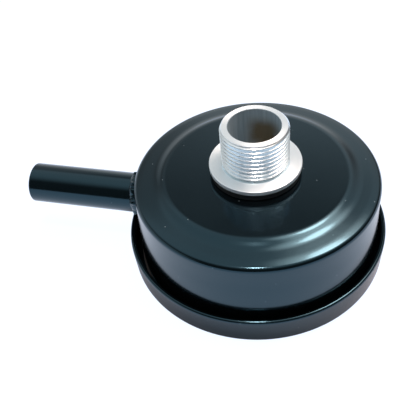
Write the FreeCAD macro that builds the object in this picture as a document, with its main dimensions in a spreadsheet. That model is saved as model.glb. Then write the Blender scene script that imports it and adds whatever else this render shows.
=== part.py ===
import FreeCAD, Part
import math
import os

import Sketcher

# An intake filter for a piston compressor: a pressed steel cup with a side inlet tube, a threaded
# aluminium outlet nipple on top, a pleated paper element inside and a pressed lid below, held by a
# wing nut on a central stud. Millimetres. The origin is on the nipple's axis at the flange's upper
# face, +Z points out of the nipple and the inlet tube points along -X.

SIZES = {
    # pressed steel cup
    "sheet": 1.0,
    "cup_radius": 61.7,
    "crown_margin": 1.0,
    "crown_drop": 3.7,
    "crown_bend": 4.0,
    "step_width": 5.0,
    "step_drop": 1.75,
    "step_bend": 14.0,
    "cup_edge_bend": 2.6,
    # outlet nipple, pipe thread G 1
    "thread_radius": 16.62,
    "thread_chamfer": 1.0,
    "nipple_rise": 21.6,
    "nipple_foot": 2.0,
    "bore_radius": 12.75,
    "bore_chamfer": 0.5,
    "flange_reach": 6.23,
    "flange_thick": 2.3,
    "flange_round": 0.3,
    # what clamps the nipple to the cup
    "nipple_gasket_inset": 0.45,
    "nipple_gasket_thick": 3.7,
    "inner_washer_margin": 1.2,
    "inner_washer_thick": 1.5,
    "lock_nut_wall": 3.83,
    "lock_nut_thick": 7.0,
    "nipple_hole_play": 0.4,
    # inlet tube and its weld
    "tube_radius": 10.65,
    "tube_wall": 1.6,
    "tube_reach": 124.2,
    "tube_inset": 4.7,
    "tube_below_edge": 19.7,
    "tube_side": 2.0,
    "tube_end_round": 0.65,
    "weld_leg": 3.2,
    "weld_rise": 1.2,
    # lid
    "tube_lip_gap": 0.7,
    "lid_height": 17.3,
    "lid_taper": 0.75,
    "lid_bend": 4.0,
    "lid_small_bend": 2.0,
    "lid_play": 0.6,
    "hem_gap": 0.6,
    "hem_rise": 1.6,
    "hem_leg": 4.0,
    "hem_flat": 0.1,
    "panel_gap": 2.2,
    "panel_rise": 2.5,
    "panel_slope": 1.0,
    "panel_edge_bend": 0.8,
    "panel_foot_inner_bend": 0.3,
    "recess_radius": 22.0,
    "recess_slope": 1.2,
    "recess_depth": 14.6,
    # lid gasket
    "lid_gasket_inside": 1.8,
    "lid_gasket_outside": 1.0,
    "lid_gasket_thick": 3.0,
    "lid_gasket_side_gap": 0.1,
    # stud, strap and fasteners
    "stud_radius": 3.0,
    "stud_nipple_gap": 2.5,
    "stud_past_nut": 2.5,
    "stud_tail": 3.9,
    "stud_chamfer": 0.6,
    "nut_wall": 1.95,
    "nut_thick": 5.0,
    "strap_sheet": 1.5,
    "strap_width": 14.0,
    "strap_nut_gap": 3.8,
    "strap_bend": 3.0,
    "washer_radius": 9.0,
    "washer_thick": 1.6,
    "rubber_washer_thick": 2.0,
    "wing_hub_wall": 2.15,
    "wing_hub_taper": 1.0,
    "wing_hub_height": 6.0,
    "wing_span": 15.5,
    "wing_root": 11.5,
    "wing_height": 10.2,
    "wing_thick": 2.4,
    "wing_round": 2.2,
    # filter element
    "element_strap_gap": 1.7,
    "element_depth": 18.1,
    "seal_inset": 2.0,
    "seal_outset": 2.6,
    "seal_thick": 2.0,
    "cap_sheet": 0.7,
    "cap_depth": 5.0,
    "cap_bend": 0.9,
    "core_sheet": 0.8,
    "core_hole_radius": 3.5,
    "core_row_pitch": 12.0,
    "mesh_sheet": 0.7,
    "mesh_diamond_half_width": 5.2,
    "mesh_diamond_half_height": 4.4,
    "mesh_row_pitch": 12.0,
    "paper_thick": 0.5,
    # running and seating clearances
    "thread_fit": 0.05,
    "seat_fit": 0.1,
    "loose_fit": 0.3,
}

CORE_HOLE_ROWS = 3
CORE_HOLE_COLUMNS = 10
MESH_ROWS = 3
MESH_COLUMNS = 20
PLEATS = 48
NUT_BEVEL = math.radians(30)
# A share of the width across flats that lies past a hexagon's corners.
PAST_CORNERS = 0.6
# A share of the hub's height at which the wings leave it.
WING_SHOULDER = 0.25
# A punch passes its own sheet with a sheet to spare on each side.
PUNCH_STROKE = 3
# The least volume that a cut takes away, and how near an edge lies to the place it is known by.
LEAST_CUT = 0.01
NEAR = 1e-4

doc = FreeCAD.newDocument("compressor_air_filter")
sheet_object = doc.addObject("Spreadsheet::Sheet", "Sizes")
for row, (alias, size) in enumerate(SIZES.items(), start=1):
    sheet_object.set(f"A{row}", alias)
    sheet_object.set(f"B{row}", str(size))
    sheet_object.setAlias(f"B{row}", alias)
doc.recompute()


class Size:
    """A length that knows both its value and the sheet expression that gives it."""

    def __init__(self, value, text):
        self.value = value
        self.text = text

    def __add__(self, other):
        other = as_size(other)
        return Size(self.value + other.value, f"({self.text} + {other.text})")

    def __sub__(self, other):
        other = as_size(other)
        return Size(self.value - other.value, f"({self.text} - {other.text})")

    def __mul__(self, factor):
        return Size(self.value * factor, f"({self.text} * {factor:.12g})")

    def __neg__(self):
        return Size(-self.value, f"(0 - {self.text})")


def as_size(number):
    return number if isinstance(number, Size) else Size(number, f"{number:.12g}")


class Sheet:
    """The spreadsheet's sizes by name."""

    def __getattr__(self, alias):
        return Size(float(getattr(sheet_object, alias)), f"Sizes.{alias}")


at = Sheet()
NOUGHT = as_size(0.0)

# Radii of what lies inside or around another piece, worked outwards from it.
flange_radius = at.thread_radius + at.flange_reach
lock_nut_bore = at.thread_radius + at.thread_fit
lock_nut_flats = (lock_nut_bore + at.lock_nut_wall) * 2
nut_bore = at.stud_radius + at.thread_fit
nut_flats = (nut_bore + at.nut_wall) * 2
wing_hub_tip_radius = nut_bore + at.wing_hub_wall
wing_hub_radius = wing_hub_tip_radius + at.wing_hub_taper
hem_width = at.sheet * 2 + at.hem_gap
hem_bend = (hem_width - at.hem_flat) * 0.5
lid_gasket_inner = at.cup_radius - at.sheet - at.lid_gasket_inside
lid_gasket_outer = at.cup_radius + at.lid_gasket_outside
foot_radius = lid_gasket_outer + at.lid_gasket_side_gap + at.lid_bend
lip_radius = foot_radius + at.lid_taper
panel_radius = lid_gasket_inner - at.panel_gap - at.panel_slope
strap_half_span = lock_nut_flats * 0.5 + at.strap_nut_gap + at.strap_sheet
inner_washer_radius = strap_half_span + at.inner_washer_margin
cap_inner = strap_half_span + at.element_strap_gap
cap_outer = cap_inner + at.element_depth
crown_radius = cap_outer + at.crown_margin
step_radius = crown_radius + at.step_width

# Heights of the seats, each the stack of what lies between it and the flange's upper face.
crown_z = -(at.flange_thick + at.nipple_gasket_thick)
cup_ceiling_z = crown_z - at.sheet
step_z = crown_z - at.step_drop
cup_edge_z = crown_z - at.crown_drop
inner_washer_z = cup_ceiling_z - at.inner_washer_thick
nipple_foot_z = inner_washer_z - at.lock_nut_thick - at.nipple_foot
stud_top_z = nipple_foot_z - at.stud_nipple_gap
upper_nut_z = stud_top_z - at.stud_past_nut
strap_z = upper_nut_z - at.nut_thick - at.strap_sheet
tube_z = cup_edge_z - at.tube_below_edge
lip_z = tube_z - at.tube_radius - at.tube_lip_gap
base_z = lip_z - at.lid_height
lid_floor_z = base_z + at.sheet
cup_rim_z = lid_floor_z + at.lid_gasket_thick
panel_z = base_z + at.panel_rise
panel_top_z = panel_z + at.sheet
recess_z = base_z + at.recess_depth
rubber_washer_z = recess_z - at.rubber_washer_thick
washer_z = rubber_washer_z - at.washer_thick
wing_hub_end_z = washer_z - at.wing_hub_height
stud_end_z = wing_hub_end_z - at.stud_tail
top_cap_z = cup_ceiling_z - at.seal_thick
bottom_cap_z = panel_top_z + at.seal_thick


def bind(thing, prop, size):
    thing.setExpression(prop, as_size(size).text)


def new_body(label, x=NOUGHT, y=NOUGHT, z=NOUGHT):
    """An empty body whose Placement follows the sheet."""
    body = doc.addObject("PartDesign::Body", label)
    body.Label = label
    bind(body, "Placement.Base.x", x)
    bind(body, "Placement.Base.y", y)
    bind(body, "Placement.Base.z", z)
    return body


def new_sketch(body, plane, lift=NOUGHT):
    """A sketch on one of the body's origin planes, lifted along that plane's normal."""
    sketch = body.newObject("Sketcher::SketchObject", f"{body.Name}_sketch")
    support = next(f for f in body.Origin.OriginFeatures if f.Role == plane)
    sketch.AttachmentSupport = [(support, "")]
    sketch.MapMode = "FlatFace"
    bind(sketch, "AttachmentOffset.Base.z", lift)
    return sketch


def pin_point(sketch, index, end, across, up):
    """Holds one end of a line at a place given by the sheet."""
    for kind, size in (("DistanceX", across), ("DistanceY", up)):
        constraint = Sketcher.Constraint(kind, -1, 1, index, end, size.value)
        bind(sketch, f"Constraints[{sketch.addConstraint(constraint)}]", size)


def outline(sketch, corners):
    """A closed outline through corners, each a pair of sizes from the sketch's origin."""
    corners = [(as_size(across), as_size(up)) for across, up in corners]
    points = [FreeCAD.Vector(across.value, up.value, 0) for across, up in corners]
    first = sketch.GeometryCount
    for start, end in zip(points, points[1:] + points[:1]):
        sketch.addGeometry(Part.LineSegment(start, end))
    for k, (across, up) in enumerate(corners):
        before = first + (k - 1) % len(corners)
        sketch.addConstraint(Sketcher.Constraint("Coincident", before, 2, first + k, 1))
        pin_point(sketch, first + k, 1, across, up)


def circle(sketch, radius, across=NOUGHT, up=NOUGHT):
    centre = FreeCAD.Vector(across.value, up.value, 0)
    index = sketch.addGeometry(Part.Circle(centre, FreeCAD.Vector(0, 0, 1), radius.value))
    pin_point(sketch, index, 3, across, up)
    constraint = sketch.addConstraint(Sketcher.Constraint("Radius", index, radius.value))
    bind(sketch, f"Constraints[{constraint}]", radius)


def turned(body, corners, kind="PartDesign::Revolution"):
    """Turns an outline of (radius, height) corners about the body's Z axis."""
    sketch = new_sketch(body, "XZ_Plane")
    outline(sketch, corners)
    feature = body.newObject(kind, f"{body.Name}_turned")
    feature.Profile = sketch
    feature.ReferenceAxis = (sketch, ["V_Axis"])
    feature.Angle = 360.0
    doc.recompute()
    return feature


def padded(body, sketch, length, symmetric=False):
    feature = body.newObject("PartDesign::Pad", f"{body.Name}_pad")
    feature.Profile = sketch
    bind(feature, "Length", length)
    if symmetric:
        feature.SideType = "Symmetric"
    doc.recompute()
    return feature


def drilled(body, sketch, symmetric=False):
    """Cuts the sketch right through the body and makes sure that it removed something."""
    before = body.Shape.Volume
    feature = body.newObject("PartDesign::Pocket", f"{body.Name}_pocket")
    feature.Profile = sketch
    feature.Type = "ThroughAll"
    if symmetric:
        feature.SideType = "Symmetric"
    doc.recompute()
    if feature.Shape.Volume > before - LEAST_CUT:
        feature.Reversed = True
        doc.recompute()
    if feature.Shape.Volume > before - LEAST_CUT:
        raise RuntimeError(f"{body.Label}: a pocket cuts nothing")
    return feature


def rings_at(shape, places):
    """The names of the round edges about Z at the given (radius, height) places."""
    names = []
    for number, edge in enumerate(shape.Edges, start=1):
        if not isinstance(edge.Curve, Part.Circle) or abs(edge.Curve.Axis.z) < 0.999:
            continue
        for radius, height in places:
            near = abs(edge.Curve.Radius - as_size(radius).value) < NEAR
            if near and abs(edge.Curve.Center.z - as_size(height).value) < NEAR:
                names.append(f"Edge{number}")
    if len(names) < len(places):
        raise RuntimeError(f"only {len(names)} of {len(places)} round edges found")
    return names


def dressed(body, kind, edges, size):
    """A fillet or chamfer on the named edges of the body's last feature."""
    base = body.Tip
    feature = body.newObject(kind, f"{body.Name}_dress")
    feature.Base = (base, edges)
    bind(feature, "Radius" if kind.endswith("Fillet") else "Size", size)
    doc.recompute()
    return feature


def ring_dressed(body, kind, places, size):
    return dressed(body, kind, rings_at(body.Tip.Shape, places), size)


def skinned(body, height, thickness):
    """Leaves a skin of the given thickness inside the solid, open at the flat face at a height."""
    base = body.Tip
    names = [
        f"Face{number}"
        for number, face in enumerate(base.Shape.Faces, start=1)
        if isinstance(face.Surface, Part.Plane)
        and abs(face.CenterOfMass.z - height.value) < NEAR
    ]
    feature = body.newObject("PartDesign::Thickness", f"{body.Name}_skin")
    feature.Base = (base, names)
    bind(feature, "Value", thickness)
    feature.Reversed = True
    feature.Join = "Intersection"
    doc.recompute()
    return feature


def punched(body, name, sketch, depth):
    """A round hole of the given depth, from the sketch along its normal."""
    hole = body.newObject("PartDesign::Pocket", name)
    hole.Profile = sketch
    hole.Reversed = True
    bind(hole, "Length", depth)


def ring(label, inner, outer, thickness, top, x=NOUGHT):
    """A flat ring about Z, hanging down from the height of its upper face."""
    body = new_body(label, x=x, z=top)
    turned(body, [(inner, -thickness), (outer, -thickness), (outer, NOUGHT), (inner, NOUGHT)])
    return body


def hexagon(sketch, flats):
    """A regular hexagon with two flats facing along the sketch's first axis."""
    corner = flats * (1 / math.sqrt(3))
    turns = [math.radians(30 + 60 * k) for k in range(6)]
    outline(sketch, [(corner * math.cos(turn), corner * math.sin(turn)) for turn in turns])


def hex_nut(label, flats, thickness, bore, top):
    """A hexagon nut with both faces bevelled, hanging down from its upper face."""
    body = new_body(label, z=top)
    sketch = new_sketch(body, "XY_Plane", -thickness)
    hexagon(sketch, flats)
    circle(sketch, bore)
    padded(body, sketch, thickness)
    flat = flats * 0.5
    clear = flats * PAST_CORNERS
    bevel = (clear - flat) * math.tan(NUT_BEVEL)
    turned(body, [(flat, NOUGHT), (clear, -bevel), (clear, NOUGHT)], "PartDesign::Groove")
    low = -thickness
    turned(body, [(flat, low), (clear, low), (clear, low + bevel)], "PartDesign::Groove")
    return body


def upper_housing():
    """The pressed cup: flat crown, step, sloping shoulder, straight wall open below."""
    body = new_body("upper_housing")
    turned(
        body,
        [
            (NOUGHT, crown_z),
            (crown_radius, crown_z),
            (step_radius, step_z),
            (at.cup_radius, cup_edge_z),
            (at.cup_radius, cup_rim_z),
            (NOUGHT, cup_rim_z),
        ],
    )
    ring_dressed(body, "PartDesign::Fillet", [(crown_radius, crown_z)], at.crown_bend)
    ring_dressed(body, "PartDesign::Fillet", [(step_radius, step_z)], at.step_bend)
    ring_dressed(body, "PartDesign::Fillet", [(at.cup_radius, cup_edge_z)], at.cup_edge_bend)
    skinned(body, cup_rim_z, at.sheet)
    nipple_hole = new_sketch(body, "XY_Plane", cup_ceiling_z - at.sheet)
    circle(nipple_hole, at.thread_radius + at.nipple_hole_play)
    punched(body, "nipple_hole", nipple_hole, at.sheet * PUNCH_STROKE)
    tube_hole = new_sketch(body, "YZ_Plane", -(at.cup_radius + at.sheet))
    circle(tube_hole, at.tube_radius + at.seat_fit, -at.tube_side, tube_z)
    punched(body, "tube_hole", tube_hole, at.tube_radius + at.sheet * PUNCH_STROKE)
    return body


def inlet_tube():
    """A straight tube through the cup's wall, a little to the front of the cup's axis."""
    body = new_body("inlet_tube", y=-at.tube_side, z=tube_z)
    length = at.tube_reach - at.cup_radius + at.tube_inset
    sketch = new_sketch(body, "YZ_Plane", -at.tube_reach)
    circle(sketch, at.tube_radius)
    circle(sketch, at.tube_radius - at.tube_wall)
    padded(body, sketch, length)
    mouth = [
        f"Edge{number}"
        for number, edge in enumerate(body.Tip.Shape.Edges, start=1)
        if abs(edge.CenterOfMass.x + at.tube_reach.value) < NEAR
    ]
    dressed(body, "PartDesign::Fillet", mouth, at.tube_end_round)
    return body


def inlet_weld_bead():
    """The weld between tube and cup: what a chamfer adds along the line where they meet, long on
    the tube and low on the cup's wall."""
    bead = doc.addObject("Part::Feature", "inlet_weld_bead")
    bead.Label = "inlet_weld_bead"
    span = (at.tube_radius + at.weld_leg * 2).value
    cup = Part.makeCylinder(
        at.cup_radius.value,
        span * 2,
        FreeCAD.Vector(0, at.tube_side.value, -span),
    )
    tube = Part.makeCylinder(
        at.tube_radius.value,
        at.cup_radius.value + span,
        FreeCAD.Vector(0, 0, 0),
        FreeCAD.Vector(-1, 0, 0),
    )
    joined = cup.fuse(tube)
    seam = [
        edge
        for edge in joined.Edges
        if not isinstance(edge.Curve, (Part.Circle, Part.Line))
    ]
    welded = joined.makeChamfer(at.weld_rise.value, at.weld_leg.value, seam)
    bead.Shape = welded.cut(joined)
    bead.Placement.Base = FreeCAD.Vector(0, -at.tube_side.value, tube_z.value)
    return bead


def outlet_nipple():
    """The turned nipple: thread envelope above and below one flange, bored right through."""
    body = new_body("outlet_nipple")
    turned(
        body,
        [
            (at.bore_radius, nipple_foot_z),
            (at.thread_radius, nipple_foot_z),
            (at.thread_radius, -at.flange_thick),
            (flange_radius, -at.flange_thick),
            (flange_radius, NOUGHT),
            (at.thread_radius, NOUGHT),
            (at.thread_radius, at.nipple_rise),
            (at.bore_radius, at.nipple_rise),
        ],
    )
    ends = [(at.thread_radius, nipple_foot_z), (at.thread_radius, at.nipple_rise)]
    ring_dressed(body, "PartDesign::Chamfer", ends, at.thread_chamfer)
    mouths = [(at.bore_radius, nipple_foot_z), (at.bore_radius, at.nipple_rise)]
    ring_dressed(body, "PartDesign::Chamfer", mouths, at.bore_chamfer)
    rims = [(flange_radius, -at.flange_thick), (flange_radius, NOUGHT)]
    ring_dressed(body, "PartDesign::Fillet", rims, at.flange_round)
    return body


def nipple_fixing():
    """Gasket under the flange, washer and lock nut inside the cup."""
    hole = at.thread_radius + at.seat_fit
    edge = flange_radius - at.nipple_gasket_inset
    ring("nipple_gasket", hole, edge, at.nipple_gasket_thick, -at.flange_thick)
    ring("nipple_inner_washer", hole, inner_washer_radius, at.inner_washer_thick, cup_ceiling_z)
    hex_nut("nipple_lock_nut", lock_nut_flats, at.lock_nut_thick, lock_nut_bore, inner_washer_z)


def stud_strap():
    """A folded strap whose two legs hang from the inner washer and carry the stud."""
    body = new_body("stud_strap", z=strap_z)
    outer = strap_half_span
    inner = outer - at.strap_sheet
    leg = inner_washer_z - strap_z
    sketch = new_sketch(body, "XZ_Plane")
    outline(
        sketch,
        [
            (-outer, NOUGHT),
            (outer, NOUGHT),
            (outer, leg),
            (inner, leg),
            (inner, at.strap_sheet),
            (-inner, at.strap_sheet),
            (-inner, leg),
            (-outer, leg),
        ],
    )
    padded(body, sketch, at.strap_width, symmetric=True)
    for half_span, height, bend in (
        (outer, NOUGHT, at.strap_bend),
        (inner, at.strap_sheet, at.strap_bend - at.strap_sheet),
    ):
        folds = [
            f"Edge{number}"
            for number, edge in enumerate(body.Tip.Shape.Edges, start=1)
            if abs(abs(edge.CenterOfMass.x) - half_span.value) < NEAR
            and abs(edge.CenterOfMass.z - height.value) < NEAR
            and abs(edge.CenterOfMass.y) < NEAR
        ]
        dressed(body, "PartDesign::Fillet", folds, bend)
    stud_hole = new_sketch(body, "XY_Plane", -at.strap_sheet)
    circle(stud_hole, at.stud_radius + at.seat_fit)
    punched(body, "stud_hole", stud_hole, at.strap_sheet * PUNCH_STROKE)
    return body


def centre_stud():
    """The threaded rod from the strap down through the lid, with its two lock nuts."""
    body = new_body("centre_stud")
    turned(
        body,
        [
            (NOUGHT, stud_end_z),
            (at.stud_radius, stud_end_z),
            (at.stud_radius, stud_top_z),
            (NOUGHT, stud_top_z),
        ],
    )
    ends = [(at.stud_radius, stud_end_z), (at.stud_radius, stud_top_z)]
    ring_dressed(body, "PartDesign::Chamfer", ends, at.stud_chamfer)
    hex_nut("stud_upper_nut", nut_flats, at.nut_thick, nut_bore, upper_nut_z)
    hex_nut("stud_lower_nut", nut_flats, at.nut_thick, nut_bore, strap_z)


def end_cap(label, seat, facing):
    """A pressed channel ring that holds one end of the element. facing is 1 where it opens down."""
    body = new_body(label, z=seat)
    inner_skin = cap_inner + at.cap_sheet
    outer_skin = cap_outer - at.cap_sheet
    web = at.cap_sheet * -facing
    flange = at.cap_depth * -facing
    turned(
        body,
        [
            (cap_inner, NOUGHT),
            (cap_outer, NOUGHT),
            (cap_outer, flange),
            (outer_skin, flange),
            (outer_skin, web),
            (inner_skin, web),
            (inner_skin, flange),
            (cap_inner, flange),
        ],
    )
    rims = [(cap_inner, NOUGHT), (cap_outer, NOUGHT)]
    ring_dressed(body, "PartDesign::Fillet", rims, at.cap_bend)
    return body


def perforated(body, inner, outer, low, high, holes, columns):
    """A sleeve about Z whose hole sketch is cut through both walls and repeated round it."""
    turned(body, [(inner, low), (outer, low), (outer, high), (inner, high)])
    sketch = new_sketch(body, "XZ_Plane")
    holes(sketch)
    cut = drilled(body, sketch, symmetric=True)
    pattern = body.newObject("PartDesign::PolarPattern", f"{body.Name}_pattern")
    pattern.Originals = [cut]
    axis = next(f for f in body.Origin.OriginFeatures if f.Role == "Z_Axis")
    pattern.Axis = (axis, [""])
    pattern.Angle = 180.0 - 360.0 / columns
    pattern.Occurrences = columns // 2
    body.Tip = pattern
    doc.recompute()


def filter_element():
    """Seals, end caps, perforated core, expanded outer mesh and the pleated paper between them."""
    low = bottom_cap_z + at.cap_sheet + at.seat_fit
    high = top_cap_z - at.cap_sheet - at.seat_fit
    middle = (low + high) * 0.5
    core_inner = cap_inner + at.cap_sheet + at.seat_fit
    core_outer = core_inner + at.core_sheet
    mesh_outer = cap_outer - at.cap_sheet - at.seat_fit
    seal_inner = cap_inner + at.seal_inset
    seal_outer = cap_outer - at.seal_outset
    mesh_inner = mesh_outer - at.mesh_sheet

    def round_holes(sketch):
        for row in range(CORE_HOLE_ROWS):
            step = row - (CORE_HOLE_ROWS - 1) / 2
            circle(sketch, at.core_hole_radius, NOUGHT, middle + at.core_row_pitch * step)

    def diamond_holes(sketch):
        for row in range(MESH_ROWS):
            centre = middle + at.mesh_row_pitch * (row - (MESH_ROWS - 1) / 2)
            outline(
                sketch,
                [
                    (-at.mesh_diamond_half_width, centre),
                    (NOUGHT, centre - at.mesh_diamond_half_height),
                    (at.mesh_diamond_half_width, centre),
                    (NOUGHT, centre + at.mesh_diamond_half_height),
                ],
            )

    ring("element_top_seal", seal_inner, seal_outer, at.seal_thick, cup_ceiling_z)
    end_cap("element_top_cap", top_cap_z, 1)
    perforated(
        new_body("inner_core"), core_inner, core_outer, low, high, round_holes, CORE_HOLE_COLUMNS
    )
    perforated(
        new_body("outer_mesh"), mesh_inner, mesh_outer, low, high, diamond_holes, MESH_COLUMNS
    )
    pleated_paper(core_outer + at.seat_fit, mesh_inner - at.seat_fit, low, high)
    end_cap("element_bottom_cap", bottom_cap_z, -1)
    ring("element_bottom_seal", seal_inner, seal_outer, at.seal_thick, bottom_cap_z)


def pleated_paper(inner, outer, low, high):
    """One strip of paper folded to and fro round the core, of even thickness across its legs."""
    half_pitch = math.pi / PLEATS
    depth = outer.value - inner.value
    leg_lean = math.atan2((inner.value + outer.value) / 2 * half_pitch, depth)
    fold = at.paper_thick.value / math.sin(leg_lean)

    def zigzag(tip, valley):
        points = []
        for k in range(2 * PLEATS):
            radius = tip if k % 2 else valley
            turn = half_pitch * k
            points.append(
                FreeCAD.Vector(radius * math.cos(turn), radius * math.sin(turn), low.value)
            )
        return Part.makePolygon(points + points[:1])

    outside = zigzag(outer.value, inner.value + fold)
    inside = zigzag(outer.value - fold, inner.value)
    paper = doc.addObject("Part::Feature", "pleated_paper")
    paper.Label = "pleated_paper"
    section = Part.Face(outside).cut(Part.Face(inside))
    paper.Shape = section.extrude(FreeCAD.Vector(0, 0, high.value - low.value))
    return paper


def lid():
    """The pressed dish: hemmed lip, tapered wall, foot ring, raised panel and central recess."""
    body = new_body("lid", x=-at.lid_play)
    hem_root_z = lip_z - at.hem_rise
    recess_foot = at.recess_radius + at.recess_slope
    panel_foot = panel_radius + at.panel_slope
    turned(
        body,
        [
            (NOUGHT, recess_z),
            (at.recess_radius, recess_z),
            (recess_foot, panel_z),
            (panel_radius, panel_z),
            (panel_foot, base_z),
            (foot_radius, base_z),
            (lip_radius, hem_root_z),
            (NOUGHT, hem_root_z),
        ],
    )
    recess_bends = [(at.recess_radius, recess_z), (recess_foot, panel_z)]
    panel_foot_bend = at.sheet + at.panel_foot_inner_bend
    ring_dressed(body, "PartDesign::Fillet", [(foot_radius, base_z)], at.lid_bend)
    ring_dressed(body, "PartDesign::Fillet", recess_bends, at.lid_small_bend)
    ring_dressed(body, "PartDesign::Fillet", [(panel_radius, panel_z)], at.panel_edge_bend)
    ring_dressed(body, "PartDesign::Fillet", [(panel_foot, base_z)], panel_foot_bend)
    skinned(body, hem_root_z, at.sheet)
    outer_leg = lip_radius - at.sheet
    inner_leg = outer_leg - at.hem_gap
    hem_inside = inner_leg - at.sheet
    turned(
        body,
        [
            (outer_leg, hem_root_z),
            (lip_radius, hem_root_z),
            (lip_radius, lip_z),
            (hem_inside, lip_z),
            (hem_inside, lip_z - at.hem_leg),
            (inner_leg, lip_z - at.hem_leg),
            (inner_leg, lip_z - at.sheet),
            (outer_leg, lip_z - at.sheet),
        ],
    )
    lips = [(hem_inside, lip_z), (lip_radius, lip_z)]
    ring_dressed(body, "PartDesign::Fillet", lips, hem_bend)
    lid_hole = new_sketch(body, "XY_Plane", recess_z - at.sheet)
    circle(lid_hole, at.stud_radius + at.lid_play + at.loose_fit)
    punched(body, "lid_hole", lid_hole, at.sheet * PUNCH_STROKE)
    return body


def lid_seals():
    """The rim gasket in the lid, and the rubber and steel washers under its middle."""
    top = lid_floor_z + at.lid_gasket_thick
    ring(
        "lid_gasket",
        lid_gasket_inner,
        lid_gasket_outer,
        at.lid_gasket_thick,
        top,
        x=-at.lid_play,
    )
    hole = at.stud_radius + at.loose_fit
    ring("lid_sealing_washer", hole, at.washer_radius, at.rubber_washer_thick, recess_z)
    ring("lid_washer", hole, at.washer_radius, at.washer_thick, rubber_washer_z)


def wing_nut():
    """A hub with two rounded wings that reach down beside the stud's end."""
    body = new_body("wing_nut", z=washer_z)
    turned(
        body,
        [
            (nut_bore, NOUGHT),
            (wing_hub_radius, NOUGHT),
            (wing_hub_tip_radius, -at.wing_hub_height),
            (nut_bore, -at.wing_hub_height),
        ],
    )
    root = (wing_hub_tip_radius + nut_bore) * 0.5
    shoulder = at.wing_hub_height * WING_SHOULDER
    for side in (1, -1):
        sketch = new_sketch(body, "XZ_Plane")
        outline(
            sketch,
            [
                (root * side, -at.wing_hub_height),
                (root * side, -shoulder),
                (wing_hub_radius * side, -shoulder),
                (at.wing_span * side, -at.wing_hub_height),
                (at.wing_span * side, -at.wing_height),
                (at.wing_root * side, -at.wing_height),
                (wing_hub_tip_radius * side, -at.wing_hub_height),
            ],
        )
        padded(body, sketch, at.wing_thick, symmetric=True)
    tips = [
        f"Edge{number}"
        for number, edge in enumerate(body.Tip.Shape.Edges, start=1)
        if abs(edge.CenterOfMass.y) < NEAR
        and abs(edge.CenterOfMass.x) > at.wing_root.value - NEAR
        and isinstance(edge.Curve, Part.Line)
    ]
    dressed(body, "PartDesign::Fillet", tips, at.wing_round)
    return body


upper_housing()
inlet_tube()
inlet_weld_bead()
outlet_nipple()
nipple_fixing()
stud_strap()
centre_stud()
filter_element()
lid()
lid_seals()
wing_nut()
doc.recompute()

pieces = [
    thing
    for thing in doc.Objects
    if thing.TypeId in ("PartDesign::Body", "Part::Feature")
]
for thing in doc.Objects:
    if "Invalid" in thing.State or "Error" in thing.State:
        raise RuntimeError(f"{thing.Name} has failed")
for piece in pieces:
    if piece.Shape.isNull() or not piece.Shape.isValid():
        raise RuntimeError(f"{piece.Label} has no valid shape")
    if len(piece.Shape.Solids) != 1:
        raise RuntimeError(f"{piece.Label} is {len(piece.Shape.Solids)} solids")
os.makedirs("parts", exist_ok=True)
for piece in pieces:
    piece.Shape.exportStep(f"parts/{piece.Label}.step")
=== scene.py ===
import math

import bmesh
import bpy
from mathutils import Euler, Matrix, Vector, noise


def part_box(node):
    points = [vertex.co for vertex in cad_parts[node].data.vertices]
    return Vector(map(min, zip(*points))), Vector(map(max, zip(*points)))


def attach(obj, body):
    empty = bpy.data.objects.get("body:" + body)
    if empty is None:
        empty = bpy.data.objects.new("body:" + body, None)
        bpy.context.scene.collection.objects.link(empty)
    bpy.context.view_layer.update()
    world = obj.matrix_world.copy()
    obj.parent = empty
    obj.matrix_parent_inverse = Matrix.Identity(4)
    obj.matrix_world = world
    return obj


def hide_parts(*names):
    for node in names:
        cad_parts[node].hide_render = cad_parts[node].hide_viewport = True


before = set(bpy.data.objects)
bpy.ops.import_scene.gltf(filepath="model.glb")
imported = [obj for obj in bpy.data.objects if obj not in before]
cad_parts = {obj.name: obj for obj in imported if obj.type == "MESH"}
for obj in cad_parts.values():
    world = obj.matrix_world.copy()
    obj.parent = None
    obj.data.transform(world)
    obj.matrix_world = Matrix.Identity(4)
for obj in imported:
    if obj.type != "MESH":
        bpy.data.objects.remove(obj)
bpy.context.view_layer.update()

# The pressed cup. One sheet of steel drawn deep, with a flat crown, a step and a sloping shoulder,
# and baked in black enamel. The nipple is clamped through its crown and its rim stands in the lid.
MM = 0.001
SHEET = 1.0 * MM
CROWN_RADIUS = 46.3 * MM
CROWN_BEND = 8.0 * MM
STEP_RADIUS = 50.9 * MM
STEP_DROP = 1.85 * MM
STEP_BEND = 14.0 * MM
SHOULDER_RADIUS = 57.5 * MM
SHOULDER_DROP = 2.77 * MM
SHOULDER_BEND = 30.0 * MM
CROWN_DROP = 3.7 * MM
CUP_EDGE_BEND = 2.6 * MM
FLARE_TOP = -20.0 * MM
FLARE_FOOT = -40.0 * MM
FLARE_BEND = 150.0 * MM
RIM_RADIUS = 62.6 * MM
NIPPLE_HOLE_RADIUS = 17.02 * MM
TUBE_HOLE_PLAY = 0.1 * MM
DRILL_STEPS = 96
ARC_STEP = math.radians(5)
ARC_LEAST_STEPS = 4
SMALLEST_BEND = 0.1 * MM
EDGE_LOOP = 0.25 * MM
SPIN_STEPS = 288
MERGE_DISTANCE = 0.0001 * MM
SHARP_ANGLE = math.radians(40)

cup_low, cup_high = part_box("upper_housing")
tube_low, tube_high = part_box("inlet_tube")
cup_radius = cup_high.y
tube_radius = (tube_high.z - tube_low.z) / 2
tube_y = (tube_high.y + tube_low.y) / 2
tube_z = (tube_high.z + tube_low.z) / 2


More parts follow.
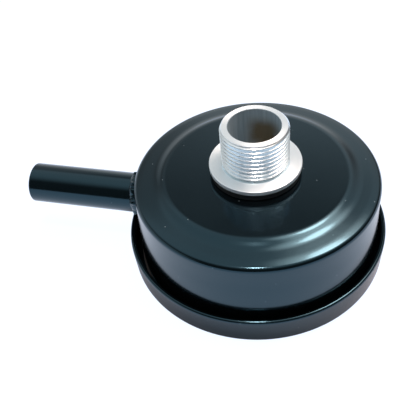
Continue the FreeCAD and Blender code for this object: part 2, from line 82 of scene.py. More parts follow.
def bent(corners):
    """An open line through (radius, height, bend) corners, each bend an arc of that radius."""
    places = [Vector(corner[:2]) for corner in corners]
    points = [places[0]]
    for before, corner, after, facts in zip(places, places[1:], places[2:], corners[1:]):
        bend = facts[2]
        if bend == 0:
            points.append(corner)
            continue
        back = (before - corner).normalized()
        ahead = (after - corner).normalized()
        opening = back.angle(ahead)
        reach = bend / math.tan(opening / 2)
        centre = corner + (back + ahead).normalized() * bend / math.sin(opening / 2)
        start = corner + back * reach - centre
        turn = math.copysign(math.pi - opening, start.cross(corner + ahead * reach - centre))
        steps = max(ARC_LEAST_STEPS, math.ceil(abs(turn) / ARC_STEP))
        if (before - corner).length > reach + 2 * EDGE_LOOP:
            points.append(corner + back * (reach + EDGE_LOOP))
        for k in range(steps + 1):
            swept = start.copy()
            swept.rotate(Matrix.Rotation(turn * k / steps, 2))
            points.append(centre + swept)
        if (after - corner).length > reach + 2 * EDGE_LOOP:
            points.append(corner + ahead * (reach + EDGE_LOOP))
    points.append(places[-1])
    return points


def pressed(corners, thickness):
    """The closed section of a bent sheet: the given face, and its other face a thickness away."""
    places = [Vector(corner[:2]) for corner in corners]
    sides = []
    for start, end in zip(places, places[1:]):
        along = (end - start).normalized()
        sides.append(Vector((along.y, -along.x)))
    other = [(*(places[0] + sides[0] * thickness), 0)]
    for place, before, after, facts in zip(places[1:], sides, sides[1:], corners[1:]):
        middle = (before + after).normalized()
        grown = facts[2] + math.copysign(thickness, thickness * before.cross(after))
        moved = place + middle * thickness / middle.dot(before)
        other.append((*moved, max(grown, SMALLEST_BEND)))
    other.append((*(places[-1] + sides[-1] * thickness), 0))
    return bent(corners) + bent(other)[::-1]


def solid(name, verts, faces):
    """An object whose faces point outwards and are smooth up to the sharp angle."""
    mesh = bpy.data.meshes.new(name)
    mesh.from_pydata(verts, [], faces)
    shape = bmesh.new()
    shape.from_mesh(mesh)
    bmesh.ops.remove_doubles(shape, verts=shape.verts, dist=MERGE_DISTANCE)
    bmesh.ops.recalc_face_normals(shape, faces=shape.faces)
    shape.to_mesh(mesh)
    shape.free()
    piece = bpy.data.objects.new(name, mesh)
    bpy.context.scene.collection.objects.link(piece)
    smoothed(piece)
    return piece


def smoothed(piece):
    """Shades a piece smooth, with its edges past the sharp angle left sharp."""
    piece.data.polygons.foreach_set("use_smooth", [True] * len(piece.data.polygons))
    piece.data.set_sharp_from_angle(angle=SHARP_ANGLE)


def looped(name, verts, loops):
    """A piece whose points lie in equal closed loops, all joined up in a ring."""
    count = len(verts) // loops
    faces = []
    for k in range(loops):
        here = k * count
        there = (k + 1) % loops * count
        for j in range(count):
            after = (j + 1) % count
            faces.append((here + j, there + j, there + after, here + after))
    return solid(name, verts, faces)


def spun(name, section, x=0.0, steps=SPIN_STEPS):
    """A closed section of (radius, height) points turned about the vertical line at x."""
    verts = []
    for k in range(steps):
        turn = math.tau * k / steps
        for radius, height in section:
            verts.append((x + radius * math.cos(turn), radius * math.sin(turn), height))
    return looped(name, verts, steps)


def made_plain(piece, modifier):
    """Turns what a modifier shows into the piece's own mesh, and removes the modifier."""
    bpy.context.view_layer.update()
    shown = piece.evaluated_get(bpy.context.evaluated_depsgraph_get())
    mesh = bpy.data.meshes.new_from_object(shown)
    piece.modifiers.remove(modifier)
    piece.data = mesh
    smoothed(piece)


def drilled(piece, radius, start, depth):
    """Drills a round hole along X through a piece."""
    bpy.ops.mesh.primitive_cylinder_add(
        vertices=DRILL_STEPS,
        radius=radius,
        depth=depth,
        location=start,
        rotation=(0, math.pi / 2, 0),
    )
    drill = bpy.context.object
    cut = piece.modifiers.new("hole", "BOOLEAN")
    cut.operation = "DIFFERENCE"
    cut.solver = "EXACT"
    cut.object = drill
    made_plain(piece, cut)
    bpy.data.objects.remove(drill)


class Wire:
    """An output socket in a node tree. Arithmetic on it adds Math nodes to that tree."""

    def __init__(self, tree, socket=None):
        self.tree = tree
        self.socket = socket

    def add(self, kind, settings=None, inputs=None, out=0):
        """Adds a node of a kind with its settings, then its inputs' values or links."""
        node = self.tree.nodes.new(kind)
        for name, value in (settings or {}).items():
            setattr(node, name, value)
        for name, value in (inputs or {}).items():
            if isinstance(value, Wire):
                self.tree.links.new(value.socket, node.inputs[name])
            else:
                node.inputs[name].default_value = value
        return Wire(self.tree, node.outputs[out])

    def other(self, out):
        """Another output of this wire's node."""
        return Wire(self.tree, self.socket.node.outputs[out])

    def into(self, node, name):
        """Feeds this wire into a node's input."""
        self.tree.links.new(self.socket, node.inputs[name])

    def maths(self, operation, *values):
        """Adds a Math node on values that are wires or numbers."""
        return self.add("ShaderNodeMath", {"operation": operation}, dict(enumerate(values)))

    def __add__(self, other):
        return self.maths("ADD", self, other)

    def __sub__(self, other):
        return self.maths("SUBTRACT", self, other)

    def __rsub__(self, other):
        return self.maths("SUBTRACT", other, self)

    def __mul__(self, other):
        return self.maths("MULTIPLY", self, other)

    def __truediv__(self, other):
        return self.maths("DIVIDE", self, other)

    __radd__ = __add__
    __rmul__ = __mul__


def finish(name, **uniform):
    """A new material, its surface shader with the values that are the same all over, and a wire."""
    material = bpy.data.materials.new(name)
    material.use_nodes = True
    surface = material.node_tree.nodes["Principled BSDF"]
    for socket, value in uniform.items():
        surface.inputs[socket.replace("_", " ")].default_value = value
    return material, surface, Wire(material.node_tree)


def mixed(wire, amount, first, second):
    """A colour between two colours, each written out or from a wire."""
    first, second = [c if isinstance(c, Wire) else (*c, 1) for c in (first, second)]
    inputs = {"Factor": amount, "A": first, "B": second}
    return wire.add("ShaderNodeMix", {"data_type": "RGBA"}, inputs, out="Result")


def cloud(wire, place, scale, detail=2.0):
    """Soft noise of 0 to 1 with about that many spots to the metre."""
    inputs = {"Vector": place, "Scale": scale, "Detail": detail}
    return wire.add("ShaderNodeTexNoise", {}, inputs, out="Fac")


def raised(wire, surface, height, strength, distance):
    """Gives a surface fine relief."""
    inputs = {"Height": height, "Strength": strength, "Distance": distance}
    wire.add("ShaderNodeBump", {}, inputs).into(surface, "Normal")


def clothed(piece, material, slot, body, *nodes):
    """Gives a piece its material and body, and hides the CAD nodes it stands for. The slot is not
    used.
    """
    piece.data.materials.clear()
    piece.data.materials.append(material)
    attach(piece, body)
    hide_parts(*nodes)


ENAMEL_CAST = (0.31, 0.655, 0.85, 1)
ENAMEL_IOR = 1.7
ENAMEL_CLEAN = (0.0008, 0.0016, 0.0022)
ENAMEL_HAZED = (0.0016, 0.0030, 0.0040)
ENAMEL_ROUGHNESS = 0.10
HAZE_ROUGHNESS = 0.08
HAZE_SCALE = 30.0
DUST_COLOUR = (0.12, 0.16, 0.18)
DUST_SCALE = 150.0
DUST_SIZE = 0.045
DUST_COVER = 0.8
PEEL_SCALE = 380.0
PEEL_STRENGTH = 0.08
PEEL_HEIGHT = 0.1 * MM


def black_enamel():
    """Gloss with a blue cast over black, with faint orange peel, haze from handling and dust."""
    material, surface, wire = finish("black_enamel", Specular_Tint=ENAMEL_CAST, IOR=ENAMEL_IOR)
    place = wire.add("ShaderNodeTexCoord", out="Object")
    haze = cloud(wire, place, HAZE_SCALE, detail=3.0)
    speck = wire.add("ShaderNodeTexVoronoi", {}, {"Vector": place, "Scale": DUST_SCALE})
    dust = wire.maths("LESS_THAN", speck, DUST_SIZE)
    black = mixed(wire, haze, ENAMEL_CLEAN, ENAMEL_HAZED)
    mixed(wire, dust * DUST_COVER, black, DUST_COLOUR).into(surface, "Base Color")
    (ENAMEL_ROUGHNESS + haze * HAZE_ROUGHNESS).into(surface, "Roughness")
    raised(wire, surface, cloud(wire, place, PEEL_SCALE), PEEL_STRENGTH, PEEL_HEIGHT)
    return material


enamel = black_enamel()
cup = spun(
    "pressed_cup",
    pressed(
        [
            (NIPPLE_HOLE_RADIUS, cup_high.z, 0),
            (CROWN_RADIUS, cup_high.z, CROWN_BEND),
            (STEP_RADIUS, cup_high.z - STEP_DROP, STEP_BEND),
            (SHOULDER_RADIUS, cup_high.z - SHOULDER_DROP, SHOULDER_BEND),
            (cup_radius, cup_high.z - CROWN_DROP, CUP_EDGE_BEND),
            (cup_radius, FLARE_TOP, FLARE_BEND),
            (RIM_RADIUS, FLARE_FOOT, FLARE_BEND),
            (RIM_RADIUS, cup_low.z, 0),
        ],
        SHEET,
    ),
)
drilled(cup, tube_radius + TUBE_HOLE_PLAY, (-cup_radius, tube_y, tube_z), tube_radius * 2)
clothed(cup, enamel, "black_paint", "housing", "upper_housing")

# The inlet tube. Half-inch steel tube, cut square and its mouth rounded off, pushed through the
# cup's wall and welded all round, under the same enamel.
TUBE_WALL = 1.6 * MM
TUBE_MOUTH_BEND = 0.75 * MM
TUBE_STEPS = 128


def laid_along_x(piece, y, z):
    """Lays a piece that was spun about Z along -X, its height becoming the distance from Z."""
    piece.data.transform(Matrix(((0, 0, -1, 0), (0, 1, 0, y), (1, 0, 0, z), (0, 0, 0, 1))))


tube = spun(
    "inlet_pipe",
    bent(
        [
            (tube_radius - TUBE_WALL, -tube_high.x, 0),
            (tube_radius, -tube_high.x, 0),
            (tube_radius, -tube_low.x, TUBE_MOUTH_BEND),
            (tube_radius - TUBE_WALL, -tube_low.x, TUBE_MOUTH_BEND),
            (tube_radius - TUBE_WALL, -tube_high.x + EDGE_LOOP, 0),
        ]
    ),
    steps=TUBE_STEPS,
)
laid_along_x(tube, tube_y, tube_z)
clothed(tube, enamel, "black_paint", "housing", "inlet_tube")

# The weld. One run of bead round the tube, laid in overlapping ripples by hand, so its width
# wanders, and enamelled over with the rest.
WELD_LEG = 5.6 * MM
WELD_RISE = 1.2 * MM
WELD_SMALLEST = 0.80
WELD_WANDER = 0.20
WELD_BULGE = 0.10
WELD_RIPPLE = 0.20
WELD_RIPPLES = 22
WELD_DRIFT = 0.35
WELD_EVENNESS = 0.8
WELD_STEPS = 360
WELD_ROWS = 14
WELD_SUNK = 0.4 * MM


def unsteady(turn, layer, scale):
    """Smooth noise of -1 to 1 round a circle, another for each layer."""
    return noise.noise(Vector((math.cos(turn), math.sin(turn), layer)) * scale)


def weld_run():
    """A closed bead over the line where the tube meets the cup."""
    verts = []
    for k in range(WELD_STEPS):
        turn = math.tau * k / WELD_STEPS
        out = Vector((0, math.cos(turn), math.sin(turn)))
        wander = unsteady(turn, layer=0.4, scale=2.2)
        size = min(1.0, WELD_SMALLEST + WELD_WANDER * (1 + wander) / 2)
        leg = WELD_LEG * size
        ripple = abs(math.sin((turn + wander * WELD_DRIFT) * WELD_RIPPLES / 2))
        ripple *= WELD_EVENNESS + unsteady(turn, layer=1.7, scale=5.0)
        low = Vector((0, tube_y, tube_z)) + out * (tube_radius - WELD_SUNK)
        meet = low + Vector((-math.sqrt(cup_radius**2 - low.y**2), 0, 0))
        root = meet + Vector((WELD_SUNK, 0, 0))
        toe = meet + out * WELD_SUNK - Vector((leg, 0, 0))
        high = Vector((0, tube_y, tube_z)) + out * (tube_radius + WELD_RISE * size)
        flared = min(max((FLARE_TOP - high.z) / (FLARE_TOP - FLARE_FOOT), 0.0), 1.0)
        wall = cup_radius + (RIM_RADIUS - cup_radius) * flared
        heel = high + Vector((-math.sqrt(wall**2 - high.y**2), 0, 0))
        verts.append(root)
        verts.append(toe - out * WELD_SUNK)
        for j in range(WELD_ROWS + 1):
            part = j / WELD_ROWS
            lift = leg * (WELD_BULGE + WELD_RIPPLE * ripple) * math.sin(math.pi * part)
            verts.append(toe.lerp(heel, part) + (out - Vector((1, 0, 0))).normalized() * lift)
        verts.append(heel + Vector((WELD_SUNK, 0, 0)))
    return looped("weld_run", verts, WELD_STEPS)


clothed(weld_run(), enamel, "black_paint", "housing", "inlet_weld_bead")

# The outlet nipple. Turned from aluminium bar in one piece, bored through, with a pipe thread of
# eleven turns to the inch on both sides of a plain flange.
FLANGE_THICK = 2.3 * MM
FLANGE_ROUND = 0.3 * MM
THREAD_RADIUS = 16.62 * MM
THREAD_PITCH = 2.309 * MM
THREAD_DEPTH = 1.479 * MM
THREAD_CHAMFER = 1.0 * MM
THREAD_RUNOUT = 1.6 * MM
THREAD_ROWS = 26
HIDDEN_THREAD_ROWS = 2
FLANK_SLOPE = 3.0
CREST_FLAT = 0.25
THREAD_ROUNDING = 0.10
THREAD_NEAR = 0.01 * MM
BORE_RADIUS = 12.75 * MM
BORE_CHAMFER = 0.2 * MM
STAIN_TOP = 19.0 * MM
STAIN_FADE = 8.0 * MM
NIPPLE_STEPS = 224

nipple_low, nipple_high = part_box("outlet_nipple")
flange_radius = nipple_high.x


def thread_cutter():
    """Geometry nodes that press a right-handed thread groove into the rows at one radius."""
    tree = bpy.data.node_groups.new("thread_cutter", "GeometryNodeTree")
    sizes = ("Radius", "Low", "High", "Pitch", "Depth", "Chamfer", "Runout")
    tree.interface.new_socket("Geometry", in_out="INPUT", socket_type="NodeSocketGeometry")
    for name in sizes:
        tree.interface.new_socket(name, in_out="INPUT", socket_type="NodeSocketFloat")
    tree.interface.new_socket("Material", in_out="INPUT", socket_type="NodeSocketMaterial")
    tree.interface.new_socket("Geometry", in_out="OUTPUT", socket_type="NodeSocketGeometry")
    given = Wire(tree).add("NodeGroupInput")
    radius, low, high, pitch, depth, chamfer, runout = [given.other(name) for name in sizes]
    place = given.add("GeometryNodeInputPosition")
    apart = given.add("ShaderNodeSeparateXYZ", {}, {"Vector": place})
    x, y, z = apart, apart.other("Y"), apart.other("Z")
    away = given.maths("SQRT", x * x + y * y)
    turn = given.maths("ARCTAN2", y, x)
    phase = z / pitch - turn * (1 / math.tau)
    from_crest = given.maths("PINGPONG", phase, 0.5)
    flank = from_crest * FLANK_SLOPE - CREST_FLAT
    flank = given.maths("SMOOTH_MAX", flank, 0.0, THREAD_ROUNDING)
    groove = given.maths("SMOOTH_MIN", flank, 1.0, THREAD_ROUNDING) * depth
    run_in = given.maths("MINIMUM", (z - low) / runout, 1.0)
    run_out = given.maths("MINIMUM", (high - z) / runout + (1.0 - chamfer / runout), 1.0)
    groove = depth - (depth - groove) * given.maths("MAXIMUM", run_in, 0.0)
    top = chamfer - (high - z)
    cut = given.maths("MAXIMUM", groove * run_out, top)
    cut = given.maths("MAXIMUM", cut, 0.0)
    onto = (away - cut) / away
    moved = given.add("ShaderNodeCombineXYZ", {}, {"X": x * onto, "Y": y * onto, "Z": z})
    level = given.maths("COMPARE", away, radius, THREAD_NEAR)
    above = given.maths("GREATER_THAN", z, low - THREAD_NEAR)
    below = given.maths("LESS_THAN", z, high + THREAD_NEAR)
    skin = given.add(
        "GeometryNodeSetPosition",
        {},
        {"Geometry": given, "Selection": level * above * below, "Position": moved},
    )
    skin = skin.add("GeometryNodeRealizeInstances", {}, {"Geometry": skin})
    inputs = {"Geometry": skin, "Material": given.other("Material")}
    skin = skin.add("GeometryNodeSetMaterial", {}, inputs)
    skin.into(tree.nodes.new("NodeGroupOutput"), "Geometry")
    return tree


def threaded(piece, tree, **given):
    """Runs the thread cutter on a piece, its inputs given by name."""
    cutter = piece.modifiers.new("thread", "NODES")
    cutter.node_group = tree
    for socket in tree.interface.items_tree:
        if socket.in_out == "INPUT" and socket.name in given:
            cutter[socket.identifier] = given[socket.name]
    made_plain(piece, cutter)


def rows(radius, start, end, pitch, count):
    """Points down a straight side, close enough together to carry a thread."""
    steps = round(abs(end - start) / pitch * count)
    return [(radius, start + (end - start) * k / steps) for k in range(steps + 1)]


def eased(wire, value, start, end):
    """0 where the value is at the start or before it, 1 from the end on, smooth between."""
    inputs = {"Value": value, "From Min": start, "From Max": end}
    return wire.add("ShaderNodeMapRange", {"interpolation_type": "SMOOTHSTEP"}, inputs)


GRAIN = 0.55
GRAIN_ROTATION = 0.25
ALUMINIUM_DULL = (0.79, 0.88, 0.92)
ALUMINIUM_BRIGHT = (0.84, 0.92, 0.95)
ALUMINIUM_ROUGHNESS = 0.42
PATCH_SCALE = 90.0
PATCH_ROUGHNESS = 0.06
MARK_SCALE = 9000.0
MARK_STRENGTH = 0.08
MARK_HEIGHT = 0.02 * MM
THREAD_POLISH = 0.19
THREAD_MARKS_LOST = 0.9
FILM_DARK = (0.19, 0.29, 0.35)
FILM_PALE = (0.52, 0.66, 0.74)
FILM_ROUGHNESS = 0.25
FILM_COVER = 0.6
DRIPS_ROUND = 9.0
DRIPS_DOWN = 40.0
STAIN_COLOUR = (0.16, 0.14, 0.09)
STAIN_TOWARDS = (0.3, 0.95)
STAIN_LEAST = 0.2
STAIN_PATCHES = 1.4


def turned_aluminium():
    """Bright bar stock, with turning marks about Z and a dull film inside the bore."""
    material, surface, wire = finish(
        "turned_aluminium", Anisotropic=GRAIN, Anisotropic_Rotation=GRAIN_ROTATION
    )
    place = wire.add("ShaderNodeTexCoord", out="Object")
    x = wire.add("ShaderNodeSeparateXYZ", {}, {"Vector": place})
    y, z = x.other("Y"), x.other("Z")
    away = wire.maths("SQRT", x * x + y * y)
    inside = wire.maths("LESS_THAN", away, BORE_RADIUS + BORE_CHAMFER)
    ring = wire.add("ShaderNodeCombineXYZ", {}, {"X": away * MARK_SCALE, "Y": z * MARK_SCALE})
    marks = cloud(wire, ring, 1.0)
    patches = cloud(wire, place, PATCH_SCALE, detail=4.0)
    bright = mixed(wire, patches, ALUMINIUM_DULL, ALUMINIUM_BRIGHT)
    turn = wire.maths("ARCTAN2", y, x)
    drips = wire.add("ShaderNodeCombineXYZ", {}, {"X": turn * DRIPS_ROUND, "Y": z * DRIPS_DOWN})
    film = mixed(wire, cloud(wire, drips, 1.0, detail=3.0), FILM_DARK, FILM_PALE)
    low = eased(wire, z, STAIN_TOP, STAIN_TOP - STAIN_FADE)
    side = x * STAIN_TOWARDS[0] + y * STAIN_TOWARDS[1]
    side = eased(wire, side, BORE_RADIUS / 2, BORE_RADIUS)
    stain = low * side * (STAIN_LEAST + patches * STAIN_PATCHES)
    film = mixed(wire, stain, film, STAIN_COLOUR)
    mixed(wire, inside, bright, film).into(surface, "Base Color")
    face = wire.maths("GREATER_THAN", away, THREAD_RADIUS + EDGE_LOOP)
    end = wire.maths("GREATER_THAN", z, nipple_high.z - EDGE_LOOP)
    cut = 1.0 - wire.maths("MAXIMUM", face, end)
    dulled = patches * PATCH_ROUGHNESS + inside * FILM_ROUGHNESS
    (ALUMINIUM_ROUGHNESS - cut * THREAD_POLISH + dulled).into(surface, "Roughness")
    (1.0 - inside * FILM_COVER).into(surface, "Metallic")
    marks = marks * (1.0 - cut * THREAD_MARKS_LOST)
    raised(wire, surface, marks, MARK_STRENGTH, MARK_HEIGHT)
    return material


aluminium = turned_aluminium()
thread = thread_cutter()
nipple_section = (
    [(BORE_RADIUS, nipple_low.z + BORE_CHAMFER), (BORE_RADIUS, nipple_high.z - BORE_CHAMFER)]
    + [(BORE_RADIUS + BORE_CHAMFER, nipple_high.z)]
    + rows(THREAD_RADIUS, nipple_high.z, 0.0, THREAD_PITCH, THREAD_ROWS)
    + bent(
        [
            (THREAD_RADIUS + EDGE_LOOP, 0.0, 0),
            (flange_radius, 0.0, FLANGE_ROUND),
            (flange_radius, -FLANGE_THICK, FLANGE_ROUND),
            (THREAD_RADIUS + EDGE_LOOP, -FLANGE_THICK, 0),
        ]
    )
    + rows(
        THREAD_RADIUS,
        -FLANGE_THICK,
        nipple_low.z + THREAD_CHAMFER,
        THREAD_PITCH,
        HIDDEN_THREAD_ROWS,
    )
    + [(THREAD_RADIUS - THREAD_CHAMFER, nipple_low.z)]
    + [(BORE_RADIUS + BORE_CHAMFER, nipple_low.z)]
)
nipple = spun("turned_nipple", nipple_section, steps=NIPPLE_STEPS)
threaded(
    nipple,
    thread,
    Radius=THREAD_RADIUS,
    Low=0.0,
    High=nipple_high.z,
    Pitch=THREAD_PITCH,
    Depth=THREAD_DEPTH,
    Chamfer=THREAD_CHAMFER,
    Runout=THREAD_RUNOUT,
    Material=aluminium,
)
clothed(nipple, aluminium, "bright_aluminium", "housing", "outlet_nipple")

# The nipple's gasket. A thick black rubber ring squeezed between the flange and the crown, with
# its outer edges rounded.
GASKET_HOLE_RADIUS = 16.72 * MM
GASKET_ROUND = 0.9 * MM
RUBBER_SHINE = 0.35
RUBBER_BLACK = (0.010, 0.011, 0.012)
RUBBER_GREY = (0.020, 0.021, 0.022)
RUBBER_ROUGHNESS = 0.48
BLOOM_ROUGHNESS = 0.16
BLOOM_SCALE = 60.0
RUBBER_GRAIN_SCALE = 900.0
RUBBER_GRAIN_STRENGTH = 0.25
RUBBER_GRAIN_HEIGHT = 0.05 * MM


def black_rubber():
    """Dull black rubber with a grey bloom and a fine grain."""
    material, surface, wire = finish("black_rubber", Specular_IOR_Level=RUBBER_SHINE)
    place = wire.add("ShaderNodeTexCoord", out="Object")
    grain = cloud(wire, place, RUBBER_GRAIN_SCALE, detail=3.0)
    bloom = cloud(wire, place, BLOOM_SCALE)
    mixed(wire, bloom, RUBBER_BLACK, RUBBER_GREY).into(surface, "Base Color")
    (RUBBER_ROUGHNESS + bloom * BLOOM_ROUGHNESS).into(surface, "Roughness")
    raised(wire, surface, grain, RUBBER_GRAIN_STRENGTH, RUBBER_GRAIN_HEIGHT)
    return material


rubber = black_rubber()
gasket_low, gasket_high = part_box("nipple_gasket")
gasket = spun(
    "squeezed_gasket",
    bent(
        [
            (GASKET_HOLE_RADIUS, gasket_high.z, 0),
            (gasket_high.x, gasket_high.z, GASKET_ROUND),
            (gasket_high.x, gasket_low.z, GASKET_ROUND),
            (GASKET_HOLE_RADIUS, gasket_low.z, 0),
        ]
    ),
)
clothed(gasket, rubber, "black_rubber", "housing", "nipple_gasket")

# The clamping parts inside the cup: steel washer, lock nut and folded strap, zinc plated. Then the
# threaded stud through the strap, with its thread cut by the same tool as the nipple's.
STUD_THREAD_PITCH = 1.0 * MM
STUD_THREAD_DEPTH = 0.61 * MM
STUD_THREAD_ROWS = 10
STUD_THREAD_RUNOUT = 0.2 * MM
STUD_CHAMFER = 0.6 * MM
STUD_STEPS = 40
ZINC_BLUE = (0.50, 0.53, 0.56)
ZINC_PALE = (0.66, 0.66, 0.62)
ZINC_ROUGHNESS = 0.26
TARNISH_ROUGHNESS = 0.12
TARNISH_SCALE = 45.0
SPANGLE_ROUGHNESS = 0.10
SPANGLE_SCALE = 700.0
SPANGLE_STRENGTH = 0.08
SPANGLE_HEIGHT = 0.03 * MM


def zinc_plate():
    """Plated steel: bluish grey that has gone pale in patches, with small spangles."""
    material, surface, wire = finish("zinc_plate", Metallic=1.0)
    place = wire.add("ShaderNodeTexCoord", out="Object")
    tarnish = cloud(wire, place, TARNISH_SCALE, detail=4.0)
    inputs = {"Vector": place, "Scale": SPANGLE_SCALE}
    spangle = wire.add("ShaderNodeTexVoronoi", {}, inputs, out="Distance")
    mixed(wire, tarnish, ZINC_BLUE, ZINC_PALE).into(surface, "Base Color")
    rough = ZINC_ROUGHNESS + tarnish * TARNISH_ROUGHNESS + spangle * SPANGLE_ROUGHNESS
    rough.into(surface, "Roughness")
    raised(wire, surface, spangle, SPANGLE_STRENGTH, SPANGLE_HEIGHT)
    return material


def recoated(material, *names):
    """Gives CAD nodes that keep their shape a better material."""
    for name in names:
        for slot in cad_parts[name].material_slots:
            slot.material = material


zinc = zinc_plate()
recoated(zinc, "nipple_inner_washer", "nipple_lock_nut", "stud_strap")
recoated(zinc, "stud_upper_nut", "stud_lower_nut")
stud_low, stud_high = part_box("centre_stud")
stud_radius = stud_high.x
stud_section = (
    [(0.0, stud_high.z)]
    + rows(stud_radius, stud_high.z, stud_low.z + STUD_CHAMFER, STUD_THREAD_PITCH, STUD_THREAD_ROWS)
    + [(stud_radius - STUD_CHAMFER, stud_low.z), (0.0, stud_low.z)]
)
stud = spun("threaded_stud", stud_section, steps=STUD_STEPS)
threaded(
    stud,
    thread,
    Radius=stud_radius,
    Low=stud_low.z + STUD_CHAMFER,
    High=stud_high.z,
    Pitch=STUD_THREAD_PITCH,
    Depth=STUD_THREAD_DEPTH,
    Chamfer=STUD_CHAMFER,
    Runout=STUD_THREAD_RUNOUT,
    Material=zinc,
)
clothed(stud, zinc, "zinc_steel", "housing", "centre_stud")

# The filter element: pleated paper between a perforated core and an expanded mesh, with a pressed
# cap and a rubber ring at each end. It only rests in the cup.
PAPER_TAN = (0.62, 0.50, 0.31)
PAPER_CREAM = (0.80, 0.70, 0.50)
PAPER_ROUGHNESS = 0.9
FIBRE_SCALE = 1500.0
FIBRE_STRENGTH = 0.4
FIBRE_HEIGHT = 0.05 * MM


def filter_paper():
    """Resin-treated paper: cream, matt and fibrous."""
    material, surface, wire = finish("filter_paper", Roughness=PAPER_ROUGHNESS)
    place = wire.add("ShaderNodeTexCoord", out="Object")
    fibres = cloud(wire, place, FIBRE_SCALE, detail=4.0)
    mixed(wire, fibres, PAPER_TAN, PAPER_CREAM).into(surface, "Base Color")
    raised(wire, surface, fibres, FIBRE_STRENGTH, FIBRE_HEIGHT)
    return material


recoated(filter_paper(), "pleated_paper")
recoated(zinc, "inner_core", "outer_mesh", "element_top_cap", "element_bottom_cap")
recoated(rubber, "element_top_seal", "element_bottom_seal")

# The lid. A shallow dish of the cup's sheet, wider than the cup: hemmed lip, upright wall, a ring
# to stand on, a raised panel, and a recess in the middle that takes the wing nut.
HEM_WIDTH = 2.6 * MM
HEM_RISE = 1.6 * MM
HEM_LEG = 4.0 * MM
HEM_BEND = 1.25 * MM
LIP_BEND = 3.0 * MM
LID_TAPER = 0.75 * MM
LID_BEND = 4.0 * MM
LID_SMALL_BEND = 2.0 * MM
PANEL_RADIUS = 55.7 * MM
PANEL_SLOPE = 1.0 * MM
PANEL_RISE = 2.5 * MM
PANEL_EDGE_BEND = 0.8 * MM
PANEL_FOOT_BEND = 1.3 * MM
RECESS_RADIUS = 22.0 * MM
RECESS_SLOPE = 1.2 * MM
RECESS_DEPTH = 14.6 * MM
LID_HOLE_RADIUS = 3.9 * MM

lid_low, lid_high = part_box("lid")
lip_radius = (lid_high.y - lid_low.y) / 2
lid_x = (lid_high.x + lid_low.x) / 2
lid = spun(
    "pressed_lid",
    pressed(
        [
            (LID_HOLE_RADIUS, lid_low.z + RECESS_DEPTH, 0),
            (RECESS_RADIUS, lid_low.z + RECESS_DEPTH, LID_SMALL_BEND),
            (RECESS_RADIUS + RECESS_SLOPE, lid_low.z + PANEL_RISE, LID_SMALL_BEND),
            (PANEL_RADIUS, lid_low.z + PANEL_RISE, PANEL_EDGE_BEND),
            (PANEL_RADIUS + PANEL_SLOPE, lid_low.z, PANEL_FOOT_BEND),
            (lip_radius - LID_TAPER, lid_low.z, LID_BEND),
            (lip_radius, lid_high.z - HEM_RISE, LIP_BEND),
            (lip_radius, lid_high.z, HEM_BEND),
            (lip_radius - HEM_WIDTH, lid_high.z, HEM_BEND),
            (lip_radius - HEM_WIDTH, lid_high.z - HEM_LEG, 0),
        ],
        -SHEET,
    ),
    x=lid_x,
)
clothed(lid, enamel, "black_paint", "lid_body", "lid")
recoated(rubber, "lid_gasket", "lid_sealing_washer")
recoated(zinc, "lid_washer", "wing_nut")

# The studio: a white table that runs on out of sight, a pale wall behind it with a dark patch, a
# pale screen on the left, soft lamps high up behind on the right and overhead, and a dim room in
# front. The camera is where the photograph's was.
CAMERA_PLACE = Vector((45.718, -231.528, 205.574)) * MM
CAMERA_TURN = Euler([math.radians(turn) for turn in (44.6027, 4.2357, 12.8803)], "XYZ")
CAMERA_LENS = 54.47
TABLE_SIZE = 8.0
TABLE_WHITE = (1.10, 1.20, 1.40, 1)
TABLE_GLOW = 0.86
TABLE_MATT = (0.41, 0.48, 0.58, 1)
TABLE_ROUGHNESS = 0.9
# Inside the first radius the table's reflections get none of its glow, past the second all of it: a
# painted shadow round the object's foot, seen only in reflections.
PAINTED_SHADOW_INNER = 70.0 * MM
PAINTED_SHADOW_OUTER = 84.0 * MM
LAMP_DISTANCE = 1.2
HIGH_LAMP = Vector((0.312, 0.303, 0.901)).normalized()
HIGH_LAMP_SIZE = 0.32
HIGH_LAMP_POWER = 5.0
HIGH_LAMP_COLOUR = (1.0, 0.76, 0.66)
CEILING_LAMP = Vector((0.02, -0.22, 0.975)).normalized()
CEILING_LAMP_SIZE = 0.12
CEILING_LAMP_POWER = 7.0
CEILING_LAMP_COLOUR = (1.0, 0.78, 0.70)
HALO_COLOUR = (8.5, 6.2, 5.3, 1)
HALO_EDGE = math.cos(math.radians(21))
ROOM_DIM = 0.08
ROOM_BRIGHT = 0.95
ROOM_SPAN = (0.42, 0.92)
ROOM_LEAN = (0, 0.35, 0)
WALL_TOWARDS = Vector((-0.139, 0.990, 0.0))
WALL_SPAN = (0.86, 0.98)
NEARLY_UPRIGHT = 1e-4
WALL_BRIGHT = 0.98
WALL_DIM = 0.20
WALL_FALL = (0.545, 0.743)
WALL_RETURN = (0.743, 0.93)
LEFT_TOWARDS = Vector((-0.94, 0.34, 0.0))
LEFT_SPAN = (0.1, 0.7)
LEFT_HEIGHT = (0.62, 0.35)
LEFT_BRIGHT = 0.8
DARK_TOWARDS = Vector((-0.493, 0.678, 0.545)).normalized()
DARK_SPAN = (0.93, 0.99)
DARK_DEPTH = 0.45
CAMERA_NEAR = 10.0 * MM

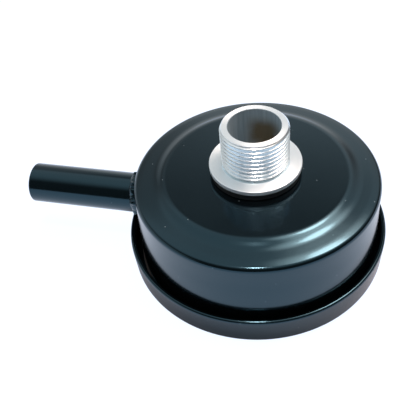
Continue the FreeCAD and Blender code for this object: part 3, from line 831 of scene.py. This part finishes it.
bpy.ops.mesh.primitive_plane_add(size=TABLE_SIZE, location=(0, 0, lid_low.z))
table = bpy.context.object
table.name = "table"
white, surface, wire = finish(
    "white_table", Base_Color=TABLE_MATT, Roughness=TABLE_ROUGHNESS
)
glow = wire.add("ShaderNodeEmission", {}, {"Color": TABLE_WHITE, "Strength": 1.0})
rays = wire.add("ShaderNodeLightPath", out="Is Camera Ray")
ground = wire.add("ShaderNodeTexCoord", out="Object")
away = wire.add("ShaderNodeVectorMath", {"operation": "LENGTH"}, {0: ground}, out="Value")
# Glossy rays see the table's glow only away from the object; near the foot they see the darker matt
# table, a painted shadow in reflections.
reflected_glow_past_painted_shadow = rays.other("Is Glossy Ray") * eased(wire, away, PAINTED_SHADOW_INNER, PAINTED_SHADOW_OUTER)
shown = wire.maths("MAXIMUM", rays, reflected_glow_past_painted_shadow)
shown = wire.maths("MAXIMUM", shown, rays.other("Is Transmission Ray"))
matt = Wire(white.node_tree, surface.outputs["BSDF"])
seen = wire.add("ShaderNodeMixShader", {}, {0: shown * TABLE_GLOW, 1: matt, 2: glow})
seen.into(white.node_tree.nodes["Material Output"], "Surface")
table.data.materials.append(white)


def hung_lamp(name, towards, size, power, colour):
    """A round lamp facing the object from far off."""
    lamp = bpy.data.objects.new(name, bpy.data.lights.new(name, "AREA"))
    lamp.data.shape = "DISK"
    lamp.data.size = size
    lamp.data.energy = power
    lamp.data.color = colour
    lamp.location = towards * LAMP_DISTANCE
    lamp.rotation_euler = towards.to_track_quat("Z", "Y").to_euler()
    bpy.context.scene.collection.objects.link(lamp)


hung_lamp("high_lamp", HIGH_LAMP, HIGH_LAMP_SIZE, HIGH_LAMP_POWER, HIGH_LAMP_COLOUR)
hung_lamp(
    "ceiling_lamp", CEILING_LAMP, CEILING_LAMP_SIZE, CEILING_LAMP_POWER, CEILING_LAMP_COLOUR
)

world = bpy.data.worlds.new("studio")
world.use_nodes = True
bpy.context.scene.world = world
sky = Wire(world.node_tree)
towards = sky.add("ShaderNodeTexCoord", out="Generated")


def facing(direction):
    """The cosine between where a ray goes and a direction."""
    inputs = {0: towards, 1: direction}
    return sky.add("ShaderNodeVectorMath", {"operation": "DOT_PRODUCT"}, inputs, out="Value")


rise = facing((0, 0, 1))
upward = rise + facing(ROOM_LEAN)
room = ROOM_DIM + eased(sky, upward, *ROOM_SPAN) * (ROOM_BRIGHT - ROOM_DIM)
fall = eased(sky, rise, *WALL_FALL) * (WALL_BRIGHT - WALL_DIM)
wall = WALL_BRIGHT - fall + eased(sky, rise, *WALL_RETURN) * (ROOM_BRIGHT - WALL_DIM)
level = sky.maths("SQRT", sky.maths("MAXIMUM", 1.0 - rise * rise, NEARLY_UPRIGHT))
behind = eased(sky, facing(WALL_TOWARDS) / level, *WALL_SPAN)
left = eased(sky, facing(LEFT_TOWARDS), *LEFT_SPAN) * eased(sky, rise, *LEFT_HEIGHT)
light = sky.maths("MAXIMUM", room + (wall - room) * behind, left * LEFT_BRIGHT)
light = light * (1.0 - eased(sky, facing(DARK_TOWARDS), *DARK_SPAN) * DARK_DEPTH)
halo = eased(sky, facing(HIGH_LAMP), HALO_EDGE, 1.0)
blend = {"data_type": "RGBA", "blend_type": "ADD"}
inputs = {"Factor": halo, "A": light, "B": HALO_COLOUR}
light = sky.add("ShaderNodeMix", blend, inputs, out="Result")
camera_ray = sky.add("ShaderNodeLightPath", out="Is Camera Ray")
air = world.node_tree.nodes["Background"]
mixed(sky, camera_ray, light, (1, 1, 1)).into(air, "Color")

camera = bpy.data.objects.new("camera", bpy.data.cameras.new("camera"))
camera.location = CAMERA_PLACE
camera.rotation_euler = CAMERA_TURN
camera.data.lens = CAMERA_LENS
camera.data.clip_start = CAMERA_NEAR
bpy.context.scene.collection.objects.link(camera)
bpy.context.scene.camera = camera
bpy.context.scene.view_settings.view_transform = "Standard"
